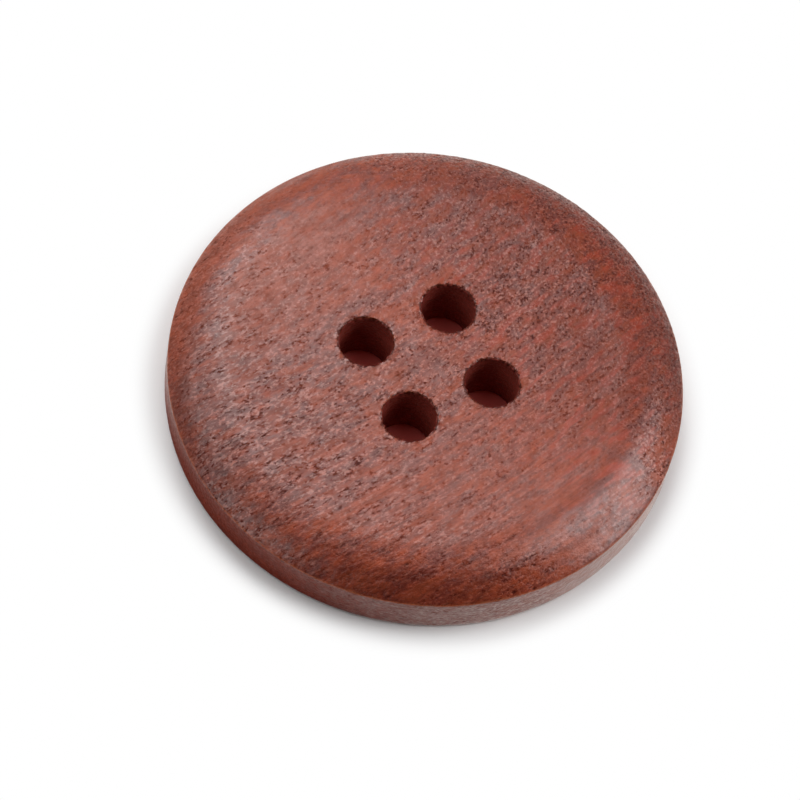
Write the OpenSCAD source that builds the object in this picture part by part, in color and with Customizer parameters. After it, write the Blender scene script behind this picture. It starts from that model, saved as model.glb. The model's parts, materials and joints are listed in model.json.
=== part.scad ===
// Four-hole sewing button, turned from one piece of wood.
// The flat back lies on z = 0 with its centre at the origin, and the face looks up along +Z.
// The sides of the square of thread holes run along X and Y.

/* [Blank] */
// Outside diameter of the button
button_d = 20; // [14:0.5:40]
// Height of the straight edge, from the back up to where the rolled border meets it
edge_h = 1.75; // [1:0.05:4]
// Radius of the rounded corner between the back and the edge
back_corner_r = 0.15; // [0.05:0.05:0.4]

/* [Face] */
// Width of the rolled border, from the flat field of the face out to the edge
roll_w = 2.4; // [1.2:0.1:4]
// Height that the rolled border drops from the flat field to the edge
roll_drop = 0.85; // [0.3:0.05:1.1]
// Radius of the worn arris between the rolled border and the edge
arris_r = 0.08; // [0.04:0.02:0.3]

/* [Thread holes] */
// Distance between neighbouring hole centres, along a side of their square
hole_spacing = 3.6; // [2.8:0.1:5]
// Diameter of each thread hole
hole_d = 2.1; // [1.2:0.1:2.4]
// Radius of the rounded mouth at both ends of a thread hole
hole_mouth_r = 0.08; // [0.04:0.02:0.2]

/* [Hidden] */
$fn = 96;

wood_color = [0.52, 0.29, 0.24];

button_r = button_d / 2;
button_t = edge_h + roll_drop;
field_r = button_r - roll_w;
hole_r = hole_d / 2;

// Length by which a cut runs past the surface that it opens
overcut = 0.5;

// The roll is an arc that leaves the flat field without a crease and ends at the edge
roll_r = (roll_w * roll_w + roll_drop * roll_drop) / (2 * roll_drop);
roll_centre = [field_r, button_t - roll_r];

// The arris is an arc inside the corner, tangent to the roll and to the straight edge
arris_reach = roll_r - arris_r;
arris_run = roll_w - arris_r;
arris_rise = sqrt(arris_reach * arris_reach - arris_run * arris_run);
arris_centre = roll_centre + [arris_run, arris_rise];
// Directions from the arris centre to its two points of tangency
to_roll = [arris_run, arris_rise] / arris_reach;
to_edge = [1, 0];

// What is turned away outside a rounded corner, between its two points of tangency
module corner_waste(centre, radius, towards_a, towards_b) {
    difference() {
        polygon([
            centre,
            centre + towards_a * (radius + overcut),
            centre + (towards_a + towards_b) * (radius + overcut),
            centre + towards_b * (radius + overcut)
        ]);
        translate(centre)
            circle(r = radius);
    }
}

// Half of the turned section, with the axis on the left and the back at the bottom
module turned_section() {
    difference() {
        union() {
            square([field_r, button_t]);
            intersection() {
                translate(roll_centre)
                    circle(r = roll_r);
                square([button_r, button_t]);
            }
        }
        corner_waste(arris_centre, arris_r, to_roll, to_edge);
        corner_waste([button_r - back_corner_r, back_corner_r], back_corner_r, [1, 0], [0, -1]);
    }
}

// Half of the section of one drilled hole, with a rounded mouth on the face and on the back
module drill_section() {
    translate([0, -overcut])
        square([hole_r, button_t + 2 * overcut]);
    drill_mouth();
    translate([0, button_t])
        mirror([0, 1])
            drill_mouth();
}

// The flare of a hole where it opens on the back
module drill_mouth() {
    difference() {
        translate([0, -overcut])
            square([hole_r + hole_mouth_r, overcut + hole_mouth_r]);
        translate([hole_r + hole_mouth_r, hole_mouth_r])
            circle(r = hole_mouth_r);
    }
}

module button() {
    color(wood_color)
        difference() {
            rotate_extrude()
                turned_section();
            for (x = [-1, 1], y = [-1, 1])
                translate([x * hole_spacing / 2, y * hole_spacing / 2, 0])
                    rotate_extrude()
                        drill_section();
        }
}

button();
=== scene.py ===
"""A four-hole sewing button, turned from one piece of red-brown stained wood, on a plain pale stage."""

import json
import math
from contextlib import contextmanager
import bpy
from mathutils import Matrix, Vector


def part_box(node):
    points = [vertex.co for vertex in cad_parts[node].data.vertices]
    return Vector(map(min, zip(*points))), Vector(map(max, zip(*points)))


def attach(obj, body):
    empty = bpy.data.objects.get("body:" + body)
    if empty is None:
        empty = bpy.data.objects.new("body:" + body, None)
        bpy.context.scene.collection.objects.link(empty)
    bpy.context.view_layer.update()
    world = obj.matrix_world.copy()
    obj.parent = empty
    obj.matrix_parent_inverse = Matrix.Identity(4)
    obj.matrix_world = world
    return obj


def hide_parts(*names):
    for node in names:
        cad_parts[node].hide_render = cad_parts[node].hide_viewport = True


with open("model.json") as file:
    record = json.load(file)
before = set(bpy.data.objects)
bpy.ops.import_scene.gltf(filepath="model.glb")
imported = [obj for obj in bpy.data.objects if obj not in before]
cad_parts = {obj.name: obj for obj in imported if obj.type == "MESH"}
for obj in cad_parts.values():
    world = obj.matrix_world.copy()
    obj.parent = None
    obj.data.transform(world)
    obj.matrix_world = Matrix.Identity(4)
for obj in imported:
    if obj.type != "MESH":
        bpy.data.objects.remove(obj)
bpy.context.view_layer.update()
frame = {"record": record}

from types import SimpleNamespace

import bmesh
import bpy
from bpy.props import FloatProperty, FloatVectorProperty, PointerProperty
from mathutils import Matrix, Vector

bl_info = {
    "name": "Turned Wooden Button",
    "version": (1, 0, 0),
    "blender": (4, 5, 0),
    "location": "3D View > Sidebar > Button",
    "description": "Turns, drills and stains a four-hole wooden button and sets it on a pale stage",
    "category": "Add Mesh",
}

NODE = "button"
LOW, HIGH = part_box(NODE)
HOLES = [m for m in frame["record"]["mounts"] if m["kind"] == "bore"]

# The piece is shaped in millimetres and brought to metres when it is finished
MM_PER_M = 1000.0
# Points closer than this, in mm, are one
MERGE_MM = 0.001
# How far round the flare of a drilled mouth is cut, which stops short of lying flat on the face
FLARE_SWEEP = math.radians(68)

# Bend of the grain across the face, and how the fibres get shorter along it, per mm
GRAIN_SWEEP = -0.0075
FIBRE_SHORTENING = 0.02
# Noise drawn out along the fibres: length and width in mm, detail, roughness and shift
RELIEF_NOISE = {
    "ridges": (0.36, 0.21, 1.0, 0.55, 5.0),
    "swell": (3.0, 1.6, 1.0, 0.5, 9.0),
    "torn_fibres": (0.13, 0.11, 1.0, 0.5, 21.0),
}
STAIN_NOISE = {
    "streaks": (5.0, 0.8, 2.0, 0.5, 3.0),
    "patches": (1.2, 0.55, 2.0, 0.6, 11.0),
    "blotches": (0.4, 0.26, 2.0, 0.6, 7.0),
    "fine_ridges": (0.36, 0.21, 3.0, 0.55, 5.0),
    "specks": (0.17, 0.12, 2.0, 0.6, 13.0),
    "glints": (0.14, 0.11, 2.0, 0.6, 17.0),
    "mottle": (0.55, 0.32, 2.0, 0.5, 23.0),
    "lines": (1.6, 0.09, 1.0, 0.5, 29.0),
    "clusters": (1.25, 0.33, 1.0, 0.5, 31.0),
}
# Share of each noise in the tone of the stain
TONE_SHARES = {"blotches": 0.35, "patches": 0.4, "streaks": 0.25}
# Where a surface counts as cutting across the fibres, by how squarely it does so
END_GRAIN_STEP = (0.1, 0.6)
# Raised grain on cut fibre ends, and the finest grain, over that of the flat field
END_GRAIN_RISE = 3
FINE_GRAIN_DEPTH = 3
# Share of the relief from the edge up to the face
RELIEF_STEP = (0.2, 0.7, 0.1, 1)
# Torn rim of a hole, in mm out from the bore and down from the face
TORN_REACH = (0.25, 0.05)
TORN_DEPTH = (0.3, 0.1)
# Dark lip of a hole, in mm out from the bore, how ragged it is, and the soft start of the bore
LIP_REACH = (0.27, 0.22)
LIP_RAGGEDNESS = 0.35
BORE_BLUR = 0.02
# Middle of the smooth side grain, along the fibres, and of the painted shade on the roll where it faces
# the camera, in mm
SIDE_GRAIN_MIDDLE = 1.5
PAINTED_SHADE_SPOT = (-5.0, -7.5)
# Zones of the wood: the measure that each goes by, where it begins and ends, and its weight at both.
# Along runs from the near end of the grain to the far end, across from its right side to its left,
# and these and the distances are in mm. Upward is 1 where the surface lies level.
ZONES = {
    # Parts of the button
    "face": ("upward", 0.2, 0.7, 0, 1),
    "flat_field": ("upward", 0.985, 0.998, 0, 1),
    "roll": ("upward", 0.99, 0.9, 0, 1),
    "outer_roll": ("upward", 0.94, 0.89, 0, 1),
    "above_edge": ("upward", 0.05, 0.2, 0, 1),
    "below_roll": ("upward", 0.77, 0.68, 0, 1),
    "middle": ("from_middle", 1.3, 0.4, 0, 1),
    # Smooth grain at the two sides, and grain that stands up on the roll and at the near end
    "wide_aside": ("aside", 4, 8, 0, 1),
    "abeam": ("from_beam", 4, 2, 0, 1),
    "smooth_sides": ("side_grain", 0, 1, 1, 0.4),
    "standing_roll": ("upward", 0.99, 0.93, 0, 0.75),
    "standing_near": ("along", -2, -7, 0, 1),
    "standing_ridges": ("standing", 0, 1, 0.5, 1.6),
    # Painted light and shade of the raised grain, partly the stain's own mottle, over both the colour and
    # the coat
    "mottled": ("along", 4, -5, 0.6, 1.05),
    "lined": ("across", 4, -1, 0.2, 0.6),
    # Coarse grain, with its pits and fibre tips: pore stain with painted shade in the hollows, pale
    # fibres with painted glints
    "coarse_tone": ("tone", 0.62, 0.5, 0.3, 1),
    "coarse_right": ("across", 0, -4, 1, 0.65),
    "coarse_right_roll": ("across", -7, -9, 0, 1.1),
    "coarse_left": ("across", 0, 5, 1, 0.65),
    "coarse_far": ("along", 1, 5, 1, 1.45),
    "coarse_face": ("face", 0, 1, 0.5, 1),
    "coarse_standing": ("standing", 0, 1, 1, 1.35),
    "pit": ("specks", 0.52, 0.3, 0, 1),
    "pit_cluster": ("clusters", 0.38, 0.6, 1.6, 0.4),
    "tip": ("glints", 0.5, 0.7, 0, 1),
    # Stains, and a painted shade on the roll
    "red": ("tone", 0.42, 0.52, 0, 1),
    "orange": ("tone", 0.5, 0.6, 0, 1),
    "clear_left": ("across", 2, 7, 0, 0.75),
    "clear_near": ("along", 3, 0, 0, 1),
    "clear_right": ("across", -1, -5, 0, 0.3),
    "flush_cluster": ("clusters", 0.51, 0.64, 0, 1),
    "flush_far": ("along", -1, 4, 0, 0.7),
    "flush_level": ("upward", 0.75, 0.95, 0.2, 1),
    "flush_right": ("across", 2, 5, 1, 0.35),
    "cut_ends": ("fibre_ends", 0, 1, 0, 0.36),
    "cut_right": ("across", 3, 7, 1, 0),
    "dark_far": ("along", 0, 7, 0, 0.34),
    "dark_near": ("along", 0, -6, 0, 0.22),
    "dark_near_left": ("across", -4, 0, 0.1, 1),
    "dark_near_level": ("upward", 0.95, 0.99, 0.65, 1),
    "dark_between_sides": ("aside", 6, 9, 1, 0),
    # Painted shade on the roll where it faces the camera and turns from the lamps
    "painted_shade_on_roll": ("from_spot", 4.5, 1.5, 0, 0.38),
    "edge": ("face", 0, 1, 0.6, 0),
    # Satin finish
    "coat_tone": ("tone", 0.59, 0.43, 0.37, 0.67),
    "coat_near": ("along", 5, -3, -0.09, 0.05),
    "coat_near_end": ("along", -2, -6, 0, -0.05),
    "coat_right": ("across", 2, -2, 0, 0.2),
    "coat_face": ("face", 0, 1, 0.8, 1),
    "coat_tips": ("standing", 0, 1, 0.8, 1.4),
    "roughness": ("face", 0, 1, 0.33, 0.26),
}
# How strongly each mark takes its stain
MIDDLE_STAIN = 0.6
PIT_STAIN = 0.55
TIP_STAIN = 0.5
WORN_STAIN = 0.55
LIP_STAIN = 0.8
TORN_COARSENESS = 0.8
# What a mark adds to the weight of the satin coat
MIDDLE_COAT = 0.08
PIT_COAT = -0.7
LIP_COAT = -0.5
WOOD_IOR = 1.25
COAT_IOR = 1.6
COAT_ROUGHNESS = 0.28

# Picture that the camera is framed for
PICTURE_PX = 800
CLIP_START, CLIP_END = 0.01, 10
# From the button to the middle of each softbox
LAMP_DISTANCE = 0.4
# Softboxes: azimuth and elevation from the button, half of the angle they span, in degrees, and radiance
SOFTBOXES = {
    "back_high_softbox": (112, 60, 11, 4.25),
    "back_low_softbox": (124, 40, 11, 3.7),
    "left_back_softbox": (165, 50, 13, 2.3),
    "left_softbox": (215, 40, 16, 1.9),
    "right_back_softbox": (26, 45, 11, 3.9),
    "right_low_softbox": (2, 33, 11, 4.9),
    "right_high_softbox": (18, 63, 11, 3.3),
    "top_left_softbox": (175, 76, 8, 1.3),
    "back_under_softbox": (98, 27, 12, 0.8),
    "right_under_softbox": (22, 24, 8, 1.4),
}
# Backdrop, from in front of the button to behind it, and its strength at both
BACKDROP_STEP = (-0.35, 0.2, 0, 0.28)
FLOOR_SIZE = 4
FLOOR_GAP = 0.00003
FLOOR_WHITE = (0.92, 0.92, 0.92, 1)
# Painted warm shade under the button, seen through the holes, and where it ends, in diameters from the
# middle
FLOOR_PAINTED_WARM_SHADE = (0.9, 0.2, 0.17, 1)
PAINTED_SHADE_REACH = (0.22, 0.3)
# Where the floor turns plain white to the camera, in diameters from the middle
WHITE_REACH = (0.5, 0.57)
# Floor as the edge reflects it: white outside a ring that is set off to one side, and inside it a painted
# dark reflection that darkens that side of the edge
PURE_WHITE = (1, 1, 1, 1)
MIRRORED_WHITE = (1, 0.95, 0.9, 1)
MIRRORED_PAINTED_SHADE = (0.3, 0.09, 0.07, 1)
MIRRORED_REACH = (0.365, 0.475)
MIRRORED_OFFSET = 0.15
MIRRORED_AZIMUTH = 230


class ButtonShape(bpy.types.PropertyGroup):
    """Sizes of the turned and drilled piece"""

    diameter: FloatProperty(
        name="Diameter", description="Outside diameter of the button",
        default=HIGH.x - LOW.x, unit="LENGTH",
    )
    thickness: FloatProperty(
        name="Thickness", description="From the back to the flat field of the face",
        default=HIGH.z - LOW.z, unit="LENGTH",
    )
    edge_height: FloatProperty(
        name="Edge height", description="From the back up to where the rolled border meets the edge",
        default=0.00175, unit="LENGTH",
    )
    roll_width: FloatProperty(
        name="Roll width", description="Width of the rolled border round the flat field",
        default=0.0024, unit="LENGTH",
    )
    arris_radius: FloatProperty(
        name="Arris radius", description="Worn corner between the rolled border and the edge",
        default=0.00008, unit="LENGTH",
    )
    back_corner_radius: FloatProperty(
        name="Back corner radius", description="Rounded corner between the edge and the back",
        default=0.00015, unit="LENGTH",
    )
    hole_diameter: FloatProperty(
        name="Hole diameter", description="Diameter of each thread hole",
        default=2 * HOLES[0]["dims"]["r_mm"] / MM_PER_M, unit="LENGTH",
    )
    hole_spacing: FloatProperty(
        name="Hole spacing", description="Between neighbouring hole centres",
        default=2 * abs(HOLES[0]["pos_m"][0]), unit="LENGTH",
    )
    hole_mouth_radius: FloatProperty(
        name="Hole mouth radius", description="Rounded mouth at both ends of a hole",
        default=0.00008, unit="LENGTH",
    )
    cell: FloatProperty(
        name="Mesh cell", description="Length of a mesh cell, fine enough to hold the raised grain",
        default=0.00011, unit="LENGTH",
    )


class ButtonFinish(bpy.types.PropertyGroup):
    """Grain and colours of the stained wood"""

    grain_angle: FloatProperty(
        name="Grain angle", description="Direction of the fibres, from the X axis",
        default=math.radians(11), subtype="ANGLE",
    )
    grain_height: FloatProperty(
        name="Grain height", description="Height of the raised grain, from hollow to ridge",
        default=0.000016, unit="LENGTH",
    )
    swell_height: FloatProperty(
        name="Swell height", description="Height of the broad, shallow unevenness of the face",
        default=0.00004, unit="LENGTH",
    )
    torn_height: FloatProperty(
        name="Torn height", description="Height of the torn fibres round the holes",
        default=0.0002, unit="LENGTH",
    )
    red: FloatVectorProperty(
        name="Red stain", description="Main colour of the stained wood",
        default=(0.222, 0.0368, 0.0157), subtype="COLOR", size=3, min=0, max=1,
    )
    orange: FloatVectorProperty(
        name="Orange streak", description="Lighter streaks between the darker growth",
        default=(0.28, 0.0507, 0.019), subtype="COLOR", size=3, min=0, max=1,
    )
    flush: FloatVectorProperty(
        name="Red flush", description="Clear red patches towards one end of the grain",
        default=(0.349, 0.0407, 0.0136), subtype="COLOR", size=3, min=0, max=1,
    )
    grey: FloatVectorProperty(
        name="Grey mottle", description="Dull brown patches where the grain stands up",
        default=(0.155, 0.0247, 0.0131), subtype="COLOR", size=3, min=0, max=1,
    )
    # Besides the pore stain, this colour is laid on as painted shade in the pits and on the roll where it
    # faces the camera
    pore: FloatVectorProperty(
        name="Pore", description="Stain that has gathered in the pores",
        default=(0.06, 0.0085, 0.0055), subtype="COLOR", size=3, min=0, max=1,
    )
    # The pale fibre tips are partly painted glints, where raised fibres would catch the lamps
    fibre: FloatVectorProperty(
        name="Fibre tip", description="Pale tips of the raised fibres",
        default=(0.46, 0.11, 0.055), subtype="COLOR", size=3, min=0, max=1,
    )
    edge: FloatVectorProperty(
        name="Edge", description="Even dark stain of the straight edge",
        default=(0.205, 0.031, 0.017), subtype="COLOR", size=3, min=0, max=1,
    )
    bore: FloatVectorProperty(
        name="Bore", description="Clear red stain inside the holes",
        default=(0.24, 0.043, 0.031), subtype="COLOR", size=3, min=0, max=1,
    )
    worn: FloatVectorProperty(
        name="Worn edge", description="Paler wood where the stain is rubbed off an edge",
        default=(0.42, 0.11, 0.04), subtype="COLOR", size=3, min=0, max=1,
    )


class ButtonStage(bpy.types.PropertyGroup):
    """Camera and light"""

    azimuth: FloatProperty(
        name="Azimuth", description="Direction of the camera round the button",
        default=math.radians(-38.8), subtype="ANGLE",
    )
    elevation: FloatProperty(
        name="Elevation", description="Height of the camera above the horizon",
        default=math.radians(60.5), subtype="ANGLE",
    )
    roll: FloatProperty(
        name="Roll", description="Turn of the camera about its own line of sight",
        default=math.radians(12.7), subtype="ANGLE",
    )
    distance: FloatProperty(
        name="Distance", description="From the camera to the middle of the arris",
        default=0.16, unit="LENGTH",
    )
    px_per_mm: FloatProperty(
        name="Pixels per mm", description="Scale of the picture at the middle of the arris",
        default=25.96,
    )
    middle_px: FloatVectorProperty(
        name="Middle", description="Pixel where the middle of the arris falls",
        default=(426.6, 372.8), size=2,
    )


def mm(metres):
    """A length in millimetres."""
    return metres * MM_PER_M


@contextmanager
def editing(piece):
    """Edit mode on one object, with nothing else selected."""
    bpy.ops.object.select_all(action="DESELECT")
    piece.select_set(True)
    bpy.context.view_layer.objects.active = piece
    bpy.ops.object.mode_set(mode="EDIT")
    bpy.ops.mesh.select_mode(type="VERT")
    yield
    bpy.ops.object.mode_set(mode="OBJECT")


def apply_modifier(piece, modifier):
    """Make a modifier's shape the piece's own mesh."""
    bpy.ops.object.select_all(action="DESELECT")
    piece.select_set(True)
    bpy.context.view_layer.objects.active = piece
    bpy.ops.object.modifier_apply(modifier=modifier.name)


def arc(centre, radius, start, end, cell):
    """Points along an arc in the XZ plane, with angles from the X axis, both ends included."""
    count = max(3, math.ceil(abs(end - start) * radius / cell))
    angles = [start + (end - start) * i / count for i in range(count + 1)]
    return [centre + radius * Vector((math.cos(a), 0, math.sin(a))) for a in angles]


def line(start, end, cell):
    """Points along a straight stretch, both ends included."""
    count = max(1, math.ceil((end - start).length / cell))
    return [start.lerp(end, i / count) for i in range(count + 1)]


def turned_section(shape):
    """Half of the turned outline, in mm: down the roll, the arris and the edge, and under to the back."""
    radius, cell = mm(shape.diameter) / 2, mm(shape.cell)
    thickness, roll_width = mm(shape.thickness), mm(shape.roll_width)
    drop = thickness - mm(shape.edge_height)
    roll = (roll_width**2 + drop**2) / (2 * drop)
    roll_centre = Vector((radius - roll_width, 0, thickness - roll))
    arris = mm(shape.arris_radius)
    run, reach = roll_width - arris, roll - arris
    arris_centre = roll_centre + Vector((run, 0, math.sqrt(reach**2 - run**2)))
    meeting = math.acos(run / reach)
    corner = mm(shape.back_corner_radius)
    corner_centre = Vector((radius - corner, 0, corner))
    edge_top = arris_centre + Vector((arris, 0, 0))
    edge_foot = corner_centre + Vector((corner, 0, 0))
    return (
        arc(roll_centre, roll, math.pi / 2, meeting, cell)[:-1]
        + arc(arris_centre, arris, meeting, 0, cell)[:-1]
        + line(edge_top, edge_foot, cell)[:-1]
        + arc(corner_centre, corner, 0, -math.pi / 2, cell)
    )


def drill_section(shape):
    """Half of the outline of the drill, in mm, from its tip on the axis to its shank on the axis."""
    radius, mouth = mm(shape.hole_diameter) / 2, mm(shape.hole_mouth_radius)
    thickness, cell = mm(shape.thickness), mm(shape.cell)
    flare_centre = Vector((radius + mouth, 0, thickness - mouth))
    flare = arc(flare_centre, mouth, math.pi, math.pi - FLARE_SWEEP, cell)
    overcut = 2 * mouth
    along = Vector((math.sin(FLARE_SWEEP), 0, math.cos(FLARE_SWEEP)))
    shank = flare[-1] + along * overcut / along.z
    upper = flare + [shank, Vector((0, 0, shank.z))]
    lower = [Vector((p.x, 0, thickness - p.z)) for p in reversed(upper)]
    return lower[:-1] + line(lower[-1], upper[0], cell)[:-1] + upper


def spun(name, section, steps):
    """A new object whose mesh is a section, traced from one vertex and spun round the Z axis."""
    bpy.ops.object.select_all(action="DESELECT")
    bpy.ops.mesh.primitive_plane_add(size=1)
    piece = bpy.context.object
    piece.name = piece.data.name = name
    with editing(piece):
        bpy.ops.mesh.select_all(action="SELECT")
        bpy.ops.mesh.merge(type="CENTER")
        bpy.ops.transform.translate(value=section[0])
        for here, there in zip(section, section[1:]):
            bpy.ops.mesh.extrude_region_move(TRANSFORM_OT_translate={"value": there - here})
        bpy.ops.mesh.select_all(action="SELECT")
        bpy.ops.mesh.spin(steps=steps, angle=2 * math.pi, center=(0, 0, 0), axis=(0, 0, 1))
        bpy.ops.mesh.select_all(action="SELECT")
        bpy.ops.mesh.remove_doubles(threshold=MERGE_MM)
    return piece


def fill_rim(piece, height):
    """Close the open rim at a height with an even grid of cells."""
    mesh = bmesh.from_edit_mesh(piece.data)
    bpy.ops.mesh.select_all(action="DESELECT")
    rim = [
        edge for edge in mesh.edges
        if edge.is_boundary and all(abs(v.co.z - height) < MERGE_MM for v in edge.verts)
    ]
    for edge in rim:
        edge.select_set(True)
    bmesh.update_edit_mesh(piece.data)
    bpy.ops.mesh.fill_grid(span=len(rim) // 4)


def turn_blank(shape):
    """The turned blank, before it is drilled."""
    section = turned_section(shape)
    round_the_rim = math.pi * mm(shape.diameter) / mm(shape.cell)
    blank = spun("turned_button", section, 8 * round(round_the_rim / 8))
    with editing(blank):
        fill_rim(blank, mm(shape.thickness))
        fill_rim(blank, 0)
        bpy.ops.mesh.select_all(action="SELECT")
        bpy.ops.mesh.normals_make_consistent(inside=False)
    return blank


def drill_holes(blank, shape):
    """Cut the four thread holes with one drill, set out on a square."""
    # The cells are half as long round a hole, to hold its torn rim
    round_the_hole = 2 * math.pi * mm(shape.hole_diameter) / mm(shape.cell)
    drill = spun("drill", drill_section(shape), 8 * round(round_the_hole / 8))
    spacing = mm(shape.hole_spacing)
    with editing(drill):
        bpy.ops.mesh.select_all(action="SELECT")
        bpy.ops.mesh.normals_make_consistent(inside=False)
        bpy.ops.transform.translate(value=(-spacing / 2, -spacing / 2, 0))
    for axis, name in enumerate("xy"):
        copies = drill.modifiers.new(f"along_{name}", "ARRAY")
        copies.use_relative_offset = False
        copies.use_constant_offset = True
        copies.constant_offset_displace = [spacing if i == axis else 0 for i in range(3)]
        apply_modifier(drill, copies)
    uncut = len(blank.data.polygons)
    holes = blank.modifiers.new("thread_holes", "BOOLEAN")
    holes.operation = "DIFFERENCE"
    holes.object = drill
    holes.solver = "EXACT"
    apply_modifier(blank, holes)
    bpy.data.objects.remove(drill)
    if len(blank.data.polygons) == uncut:
        raise RuntimeError("The drill left the blank uncut")


def add_node(tree, kind, inputs=(), **settings):
    """A new node, with its settings and with its inputs set or linked by name or number."""
    made = tree.nodes.new(kind)
    for name, value in settings.items():
        setattr(made, name, value)
    for key, value in dict(inputs).items():
        if isinstance(value, bpy.types.NodeSocket):
            tree.links.new(value, made.inputs[key])
        else:
            made.inputs[key].default_value = value
    return made


def math_node(tree, operation, a, b=0.0):
    """The result of one operation on numbers."""
    return add_node(tree, "ShaderNodeMath", {0: a, 1: b}, operation=operation).outputs[0]


def vector_node(tree, operation, inputs):
    """The result of one operation on vectors, as a vector or, where it measures them, as a number."""
    outputs = add_node(tree, "ShaderNodeVectorMath", inputs, operation=operation).outputs
    return outputs["Value" if operation in ("LENGTH", "DISTANCE", "DOT_PRODUCT") else "Vector"]


def product(tree, first, *others):
    """All the values multiplied."""
    for other in others:
        first = math_node(tree, "MULTIPLY", first, other)
    return first


def total(tree, first, *others):
    """All the values added."""
    for other in others:
        first = math_node(tree, "ADD", first, other)
    return first


def larger(tree, a, b):
    """The larger of two values."""
    return math_node(tree, "MAXIMUM", a, b)


def magnitude(tree, value):
    """A value without its sign."""
    return math_node(tree, "ABSOLUTE", value)


def centred(tree, noise):
    """Noise that goes as far below nought as above."""
    return math_node(tree, "SUBTRACT", noise, 0.5)


def ramp(tree, value, low, high, to_low=0.0, to_high=1.0):
    """A smooth step of a value from low to high."""
    inputs = {"Value": value, "From Min": low, "From Max": high, "To Min": to_low, "To Max": to_high}
    return add_node(tree, "ShaderNodeMapRange", inputs, interpolation_type="SMOOTHSTEP").outputs[0]


def blend(tree, factor, first, second):
    """A mix of two colours."""
    inputs = {0: factor, 6: first, 7: second}
    return add_node(tree, "ShaderNodeMix", inputs, data_type="RGBA").outputs[2]


def layered(tree, colour, layers):
    """A colour with stains laid over it in turn, each by its own factor."""
    for factor, stain in layers:
        colour = blend(tree, factor, colour, (*stain, 1))
    return colour


def fibre_space(tree, point, finish):
    """A point in mm, turned so that X runs along the fibres, with the sweep of the grain taken out."""
    turned = add_node(
        tree, "ShaderNodeVectorRotate", {"Vector": point, "Angle": -finish.grain_angle},
        rotation_type="Z_AXIS",
    ).outputs[0]
    parts = add_node(tree, "ShaderNodeSeparateXYZ", {0: turned}).outputs
    square = product(tree, parts[0], parts[0])
    along = total(tree, parts[0], product(tree, square, FIBRE_SHORTENING))
    across = total(tree, parts[1], product(tree, square, GRAIN_SWEEP))
    return add_node(tree, "ShaderNodeCombineXYZ", {0: along, 1: across, 2: parts[2]}).outputs[0]


def wood_noise(tree, fibre, length, width, detail, roughness, shift):
    """Noise drawn out along the fibres: length along them and width across, in mm."""
    stretch = (1 / length, 1 / width, 1 / width)
    drawn = vector_node(tree, "MULTIPLY_ADD", {0: fibre, 1: stretch, 2: (shift, shift, shift)})
    inputs = {"Vector": drawn, "Scale": 1.0, "Detail": detail, "Roughness": roughness}
    return add_node(tree, "ShaderNodeTexNoise", inputs).outputs[0]


def end_grain(tree, normal, finish):
    """How far a surface cuts across the fibres, from 0 to 1."""
    along = (math.cos(finish.grain_angle), math.sin(finish.grain_angle), 0)
    facing = vector_node(tree, "DOT_PRODUCT", {0: normal, 1: along})
    return ramp(tree, magnitude(tree, facing), *END_GRAIN_STEP)


def from_axis(tree, point):
    """Distance in mm from an upright axis through the origin."""
    level = vector_node(tree, "MULTIPLY", {0: point, 1: (1, 1, 0)})
    return vector_node(tree, "LENGTH", {0: level})


def from_holes(tree, point, shape):
    """Distance in mm from the axis of the nearest thread hole."""
    centre = mm(shape.hole_spacing) / 2
    quarter = vector_node(tree, "ABSOLUTE", {0: point})
    return from_axis(tree, vector_node(tree, "SUBTRACT", {0: quarter, 1: (centre, centre, 0)}))


def torn_rim(tree, point, shape, strength):
    """A strength round the rim of each hole, where the drill has torn the fibres."""
    out = math_node(tree, "SUBTRACT", from_holes(tree, point, shape), mm(shape.hole_diameter) / 2)
    near = ramp(tree, magnitude(tree, out), *TORN_REACH, 0, strength)
    height = add_node(tree, "ShaderNodeSeparateXYZ", {0: point}).outputs[2]
    top = mm(shape.thickness)
    return product(tree, near, ramp(tree, height, *(top - depth for depth in TORN_DEPTH)))


def raise_grain(piece, shape, finish):
    """Raise the grain of the face in the mesh, and leave the rims of the holes a little torn."""
    tree = bpy.data.node_groups.new("raised_grain", "GeometryNodeTree")
    tree.interface.new_socket("Geometry", in_out="INPUT", socket_type="NodeSocketGeometry")
    tree.interface.new_socket("Geometry", in_out="OUTPUT", socket_type="NodeSocketGeometry")
    entry = add_node(tree, "NodeGroupInput")
    result = add_node(tree, "NodeGroupOutput")
    point = add_node(tree, "GeometryNodeInputPosition").outputs[0]
    normal = add_node(tree, "GeometryNodeInputNormal").outputs[0]
    upward = add_node(tree, "ShaderNodeSeparateXYZ", {0: normal}).outputs[2]
    fibre = fibre_space(tree, point, finish)
    noise = {name: centred(tree, wood_noise(tree, fibre, *RELIEF_NOISE[name])) for name in RELIEF_NOISE}
    rise = mm(finish.grain_height)
    rise = ramp(tree, end_grain(tree, normal, finish), 0, 1, rise, END_GRAIN_RISE * rise)
    ridges = product(tree, noise["ridges"], rise)
    swell = product(tree, noise["swell"], mm(finish.swell_height))
    torn = product(tree, noise["torn_fibres"], torn_rim(tree, point, shape, mm(finish.torn_height)))
    raised = product(tree, total(tree, ridges, swell), ramp(tree, upward, *RELIEF_STEP))
    height = total(tree, raised, torn)
    offset = vector_node(tree, "SCALE", {0: normal, 3: height})
    moved = add_node(tree, "GeometryNodeSetPosition", {"Geometry": entry.outputs[0], "Offset": offset})
    tree.links.new(moved.outputs[0], result.inputs[0])
    modifier = piece.modifiers.new("raised_grain", "NODES")
    modifier.node_group = tree
    apply_modifier(piece, modifier)
    bpy.data.node_groups.remove(tree)


def zone(tree, wood, *names):
    """Weight of a point of the wood in the named zones, multiplied."""
    steps = [ZONES[name] for name in names]
    return product(tree, *(ramp(tree, getattr(wood, measure), *step) for measure, *step in steps))


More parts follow.
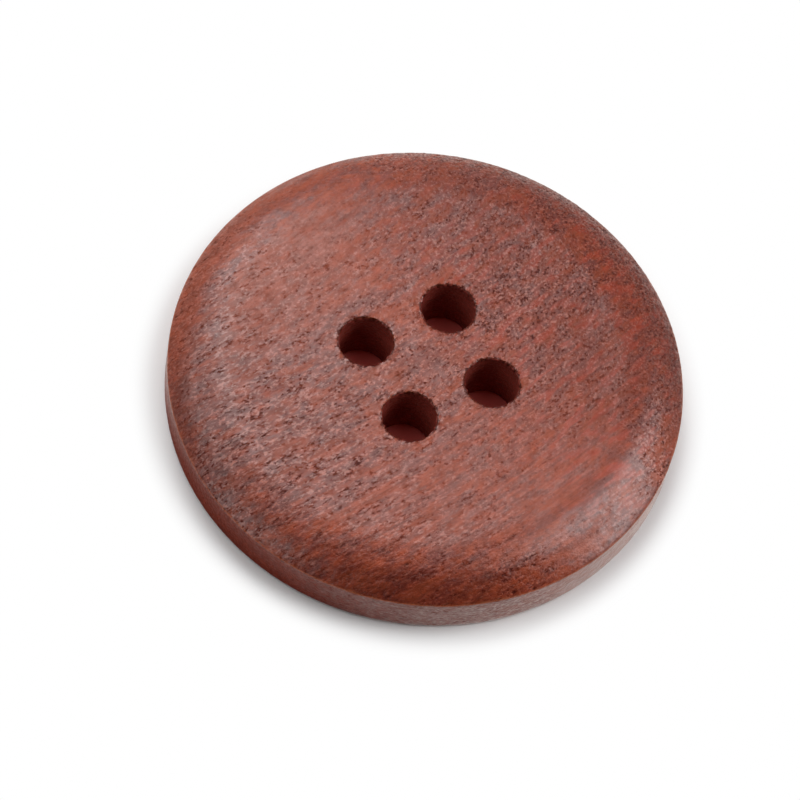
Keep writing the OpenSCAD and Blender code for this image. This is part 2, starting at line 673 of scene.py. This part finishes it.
def wood_places(tree, shape, finish):
    """Where a point of the wood lies, in the measures that the zones go by."""
    coordinates = add_node(tree, "ShaderNodeTexCoord").outputs
    normal = coordinates["Normal"]
    point = vector_node(tree, "SCALE", {0: coordinates["Object"], 3: MM_PER_M})
    fibre = fibre_space(tree, point, finish)
    along, across, _ = add_node(tree, "ShaderNodeSeparateXYZ", {0: fibre}).outputs
    spot = (*PAINTED_SHADE_SPOT, mm(shape.thickness))
    wood = SimpleNamespace(
        point=point, fibre=fibre, along=along, across=across,
        upward=add_node(tree, "ShaderNodeSeparateXYZ", {0: normal}).outputs[2],
        fibre_ends=end_grain(tree, normal, finish),
        aside=magnitude(tree, across),
        from_beam=magnitude(tree, math_node(tree, "SUBTRACT", along, SIDE_GRAIN_MIDDLE)),
        from_middle=from_axis(tree, point),
        from_spot=vector_node(tree, "DISTANCE", {0: fibre, 1: spot}),
        from_hole=from_holes(tree, point, shape),
    )
    wood.face = zone(tree, wood, "face")
    wood.flat_field = zone(tree, wood, "flat_field")
    wood.middle = zone(tree, wood, "middle")
    wood.side_grain = zone(tree, wood, "wide_aside", "abeam")
    standing = larger(tree, zone(tree, wood, "standing_roll"), zone(tree, wood, "standing_near"))
    wood.standing = product(tree, standing, zone(tree, wood, "smooth_sides"))
    return wood


def add_marks(tree, wood, shape):
    """Add what the colour, the sheen and the relief share: tone, painted light and shade of the raised
    grain, pits with painted shade, fibre tips with painted glints, torn lips.
    """
    for name, sizes in STAIN_NOISE.items():
        setattr(wood, name, wood_noise(tree, wood.fibre, *sizes))
    shares = [product(tree, getattr(wood, name), share) for name, share in TONE_SHARES.items()]
    wood.tone = total(tree, *shares)
    # Painted light and shade of the raised grain, partly the stain's own mottle, which scales both the
    # colour and the coat
    mottle = product(tree, centred(tree, wood.mottle), zone(tree, wood, "mottled"))
    lines = product(tree, centred(tree, wood.lines), zone(tree, wood, "lined"))
    wood.shade = total(tree, mottle, lines, 1)
    right = larger(tree, zone(tree, wood, "coarse_right"), zone(tree, wood, "coarse_right_roll"))
    coarse = zone(tree, wood, "coarse_tone", "smooth_sides", "coarse_left", "coarse_far")
    torn = torn_rim(tree, wood.point, shape, TORN_COARSENESS)
    coarse = larger(tree, product(tree, coarse, right), torn)
    coarse = product(tree, coarse, zone(tree, wood, "coarse_face", "coarse_standing"))
    # Pits are pore stain together with painted shade in the hollows; tips are pale fibres together with
    # painted glints
    wood.pits = product(tree, zone(tree, wood, "pit", "pit_cluster"), coarse)
    wood.tips = product(tree, zone(tree, wood, "tip"), coarse)
    bore = mm(shape.hole_diameter) / 2
    ragged = total(tree, wood.from_hole, product(tree, wood.specks, LIP_RAGGEDNESS))
    wood.lip = ramp(tree, ragged, *(bore + reach for reach in LIP_REACH))
    wood.inside = ramp(tree, wood.from_hole, bore + BORE_BLUR, bore)


def wood_colour(tree, wood, finish):
    """Colour of the stained wood, from its ground to the worn arris, the edge and the holes, with painted
    shade in the pits and on the roll that faces the camera, painted glints on the fibre tips, and painted
    light and shade over the raised grain.
    """
    ground = blend(tree, zone(tree, wood, "red"), (*finish.grey, 1), (*finish.red, 1))
    clear_part = larger(tree, wood.flat_field, zone(tree, wood, "outer_roll"))
    clear_left = product(tree, zone(tree, wood, "clear_left", "clear_near"), clear_part)
    clear_right = product(tree, zone(tree, wood, "clear_right"), wood.flat_field)
    near_end = zone(tree, wood, "dark_near", "dark_near_left", "dark_near_level")
    ends = larger(tree, zone(tree, wood, "dark_far"), near_end)
    face = layered(tree, ground, (
        (zone(tree, wood, "orange"), finish.orange),
        (larger(tree, clear_left, clear_right), finish.orange),
        (zone(tree, wood, "flush_cluster", "flush_far", "flush_level", "flush_right"), finish.flush),
        (product(tree, wood.middle, MIDDLE_STAIN), finish.grey),
        # Pits darken with pore stain and painted shade; tips lighten with pale fibre and painted glints
        (product(tree, wood.pits, PIT_STAIN), finish.pore),
        (product(tree, wood.tips, TIP_STAIN), finish.fibre),
        (zone(tree, wood, "cut_ends", "cut_right"), finish.pore),
        (product(tree, ends, zone(tree, wood, "dark_between_sides")), finish.pore),
        # Painted shade on the roll where it faces the camera and turns from the lamps
        (zone(tree, wood, "painted_shade_on_roll", "roll"), finish.pore),
    ))
    # The painted light and shade of the raised grain scales the colour
    shaded = vector_node(tree, "SCALE", {0: face, 3: wood.shade})
    return layered(tree, shaded, (
        (product(tree, zone(tree, wood, "above_edge", "below_roll"), WORN_STAIN), finish.worn),
        (zone(tree, wood, "edge"), finish.edge),
        (product(tree, wood.lip, LIP_STAIN), finish.pore),
        (wood.inside, finish.bore),
    ))


def wood_sheen(tree, wood):
    """Weight of the satin coat, which is thin in the pits and thick on the fibre tips."""
    coat = total(
        tree,
        zone(tree, wood, "coat_tone"),
        zone(tree, wood, "coat_near"),
        zone(tree, wood, "coat_near_end"),
        product(tree, wood.middle, MIDDLE_COAT),
        product(tree, wood.side_grain, zone(tree, wood, "coat_right")),
    )
    coat = product(tree, coat, zone(tree, wood, "coat_face"), wood.shade)
    coat = total(tree, coat, product(tree, wood.pits, PIT_COAT), product(tree, wood.lip, LIP_COAT))
    shine = product(tree, wood.tips, zone(tree, wood, "coat_tips"))
    return add_node(tree, "ShaderNodeMath", {0: coat, 1: shine}, use_clamp=True).outputs[0]


def stained_wood(shape, finish):
    """The stained wood: streaks, mottle and pores along the fibres, with a satin surface."""
    material = bpy.data.materials.new("stained_wood")
    material.use_nodes = True
    tree = material.node_tree
    wood = wood_places(tree, shape, finish)
    add_marks(tree, wood, shape)
    ridges = product(tree, wood.fine_ridges, zone(tree, wood, "standing_ridges"))
    bump = add_node(tree, "ShaderNodeBump", {
        "Height": total(tree, ridges, wood.specks),
        "Strength": 1.0,
        "Distance": FINE_GRAIN_DEPTH * finish.grain_height,
    })
    sockets = tree.nodes["Principled BSDF"].inputs
    tree.links.new(wood_colour(tree, wood, finish), sockets["Base Color"])
    tree.links.new(zone(tree, wood, "roughness"), sockets["Roughness"])
    tree.links.new(wood_sheen(tree, wood), sockets["Coat Weight"])
    tree.links.new(bump.outputs[0], sockets["Normal"])
    sockets["IOR"].default_value = WOOD_IOR
    sockets["Coat IOR"].default_value = COAT_IOR
    sockets["Coat Roughness"].default_value = COAT_ROUGHNESS
    return material


class BUTTON_OT_turn(bpy.types.Operator):
    """Turn, drill and stain the button"""

    bl_idname = "button.turn"
    bl_label = "Turned Button"

    def execute(self, context):
        shape, finish = context.scene.button_shape, context.scene.button_finish
        button = turn_blank(shape)
        drill_holes(button, shape)
        raise_grain(button, shape, finish)
        with editing(button):
            bpy.ops.mesh.select_all(action="SELECT")
            bpy.ops.transform.resize(value=(1 / MM_PER_M,) * 3, center_override=(0, 0, 0))
        bpy.ops.object.shade_smooth()
        button.data.materials.clear()
        button.data.materials.append(stained_wood(shape, finish))
        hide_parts(NODE)
        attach(button, "root")
        return {"FINISHED"}


def heading(stage, azimuth, elevation=0):
    """Direction from the button by degrees, with azimuth 0 to the right of the picture and 90 behind."""
    turn, rise = math.radians(azimuth), math.radians(elevation)
    level = math.cos(rise)
    direction = Vector((level * math.cos(turn), level * math.sin(turn), math.sin(rise)))
    return Matrix.Rotation(stage.azimuth, 3, "Z") @ direction


def add_camera(stage, shape):
    """The camera, framed so that the middle of the arris falls on its pixel."""
    camera = bpy.data.objects.new("camera", bpy.data.cameras.new("camera"))
    bpy.context.collection.objects.link(camera)
    data = camera.data
    data.lens = stage.px_per_mm * mm(stage.distance) / PICTURE_PX * data.sensor_width
    turn = (
        Matrix.Rotation(stage.azimuth, 4, "Z")
        @ Matrix.Rotation(math.pi / 2 - stage.elevation, 4, "X")
        @ Matrix.Rotation(stage.roll, 4, "Z")
    )
    px_per_m = mm(stage.px_per_mm)
    middle = Vector((0, 0, shape.edge_height))
    aside = (stage.middle_px[0] - PICTURE_PX / 2) / px_per_m
    up = (PICTURE_PX / 2 - stage.middle_px[1]) / px_per_m
    camera.matrix_world = Matrix.Translation(middle - turn @ Vector((aside, up, -stage.distance))) @ turn
    data.clip_start, data.clip_end = CLIP_START, CLIP_END
    bpy.context.scene.camera = camera


def add_softbox(name, stage, azimuth, elevation, half_angle, radiance):
    """A square soft light that faces the button and spans an angle either side of its middle."""
    light = bpy.data.lights.new(name, "AREA")
    light.shape = "SQUARE"
    light.size = 2 * LAMP_DISTANCE * math.tan(math.radians(half_angle))
    light.energy = math.pi * light.size**2 * radiance
    lamp = bpy.data.objects.new(name, light)
    bpy.context.collection.objects.link(lamp)
    direction = heading(stage, azimuth, elevation)
    lamp.location = direction * LAMP_DISTANCE
    lamp.rotation_euler = direction.to_track_quat("Z", "Y").to_euler()


def beyond(tree, distance, reach, shape):
    """From 0 to 1 over a reach that is given in diameters of the button."""
    return ramp(tree, distance, *(shape.diameter * r for r in reach))


def pale_floor(stage, shape):
    """A white floor, with a painted warm shade under the button, and a painted dark reflection to one
    side where the button's edge reflects it.
    """
    material = bpy.data.materials.new("pale_floor")
    material.use_nodes = True
    tree = material.node_tree
    tree.nodes.clear()
    rays = add_node(tree, "ShaderNodeLightPath").outputs
    mirrored = rays["Is Glossy Ray"]
    point = add_node(tree, "ShaderNodeTexCoord").outputs["Object"]
    out = vector_node(tree, "LENGTH", {0: point})
    offset = heading(stage, MIRRORED_AZIMUTH) * MIRRORED_OFFSET * shape.diameter
    beside = beyond(tree, vector_node(tree, "DISTANCE", {0: point, 1: offset}), MIRRORED_REACH, shape)
    # Painted warm shade under the button, which the holes show
    colour = blend(tree, beyond(tree, out, PAINTED_SHADE_REACH, shape), FLOOR_PAINTED_WARM_SHADE, FLOOR_WHITE)
    # Painted dark reflection: glossy rays see a dark floor inside the ring beside the button
    dark = product(tree, mirrored, math_node(tree, "SUBTRACT", 1, beside))
    colour = blend(tree, dark, colour, MIRRORED_PAINTED_SHADE)
    seen = larger(tree, rays["Is Camera Ray"], rays["Is Transmission Ray"])
    seen = product(tree, seen, beyond(tree, out, WHITE_REACH, shape))
    glow = blend(tree, mirrored, PURE_WHITE, MIRRORED_WHITE)
    mix = add_node(tree, "ShaderNodeMixShader", {
        0: larger(tree, seen, product(tree, mirrored, beside)),
        1: add_node(tree, "ShaderNodeBsdfDiffuse", {"Color": colour}).outputs[0],
        2: add_node(tree, "ShaderNodeEmission", {"Color": glow, "Strength": 1.0}).outputs[0],
    })
    add_node(tree, "ShaderNodeOutputMaterial", {"Surface": mix.outputs[0]})
    return material


def add_floor(stage, shape):
    """A wide pale floor just under the button."""
    bpy.ops.object.select_all(action="DESELECT")
    bpy.ops.mesh.primitive_plane_add(size=FLOOR_SIZE, location=(0, 0, -FLOOR_GAP))
    floor = bpy.context.object
    floor.name = "floor"
    floor.data.materials.append(pale_floor(stage, shape))


def add_world(stage):
    """A dim backdrop behind the button, and none in front."""
    world = bpy.data.worlds.new("studio")
    bpy.context.scene.world = world
    world.use_nodes = True
    tree = world.node_tree
    direction = add_node(tree, "ShaderNodeTexCoord").outputs["Generated"]
    behind = vector_node(tree, "DOT_PRODUCT", {0: direction, 1: heading(stage, 90)})
    backdrop = ramp(tree, behind, *BACKDROP_STEP)
    sockets = tree.nodes["Background"].inputs
    tree.links.new(backdrop, sockets["Strength"])
    sockets["Color"].default_value = PURE_WHITE


class BUTTON_OT_stage(bpy.types.Operator):
    """Set the button on a pale floor among soft lights, in front of the camera"""

    bl_idname = "button.stage"
    bl_label = "Stage"

    def execute(self, context):
        stage, shape = context.scene.button_stage, context.scene.button_shape
        add_camera(stage, shape)
        add_floor(stage, shape)
        add_world(stage)
        for name, settings in SOFTBOXES.items():
            add_softbox(name, stage, *settings)
        context.scene.view_settings.view_transform = "Standard"
        return {"FINISHED"}


class BUTTON_PT_bench(bpy.types.Panel):
    """The button's sizes and colours, and the steps that make it"""

    bl_label = "Wooden Button"
    bl_space_type = "VIEW_3D"
    bl_region_type = "UI"
    bl_category = "Button"

    def draw(self, context):
        scene = context.scene
        for group in (scene.button_shape, scene.button_finish, scene.button_stage):
            box = self.layout.box()
            for name in group.__annotations__:
                box.prop(group, name)
        for step in (BUTTON_OT_turn, BUTTON_OT_stage):
            self.layout.operator(step.bl_idname)


CLASSES = (ButtonShape, ButtonFinish, ButtonStage, BUTTON_OT_turn, BUTTON_OT_stage, BUTTON_PT_bench)


def register():
    """Add the classes, and the settings that each scene holds."""
    for entry in CLASSES:
        bpy.utils.register_class(entry)
    bpy.types.Scene.button_shape = PointerProperty(type=ButtonShape)
    bpy.types.Scene.button_finish = PointerProperty(type=ButtonFinish)
    bpy.types.Scene.button_stage = PointerProperty(type=ButtonStage)


def unregister():
    """Take away what register added."""
    del bpy.types.Scene.button_stage
    del bpy.types.Scene.button_finish
    del bpy.types.Scene.button_shape
    for entry in reversed(CLASSES):
        bpy.utils.unregister_class(entry)


def main():
    """Make the button and its stage."""
    register()
    bpy.ops.button.turn()
    bpy.ops.button.stage()


if __name__ == "__main__":
    main()
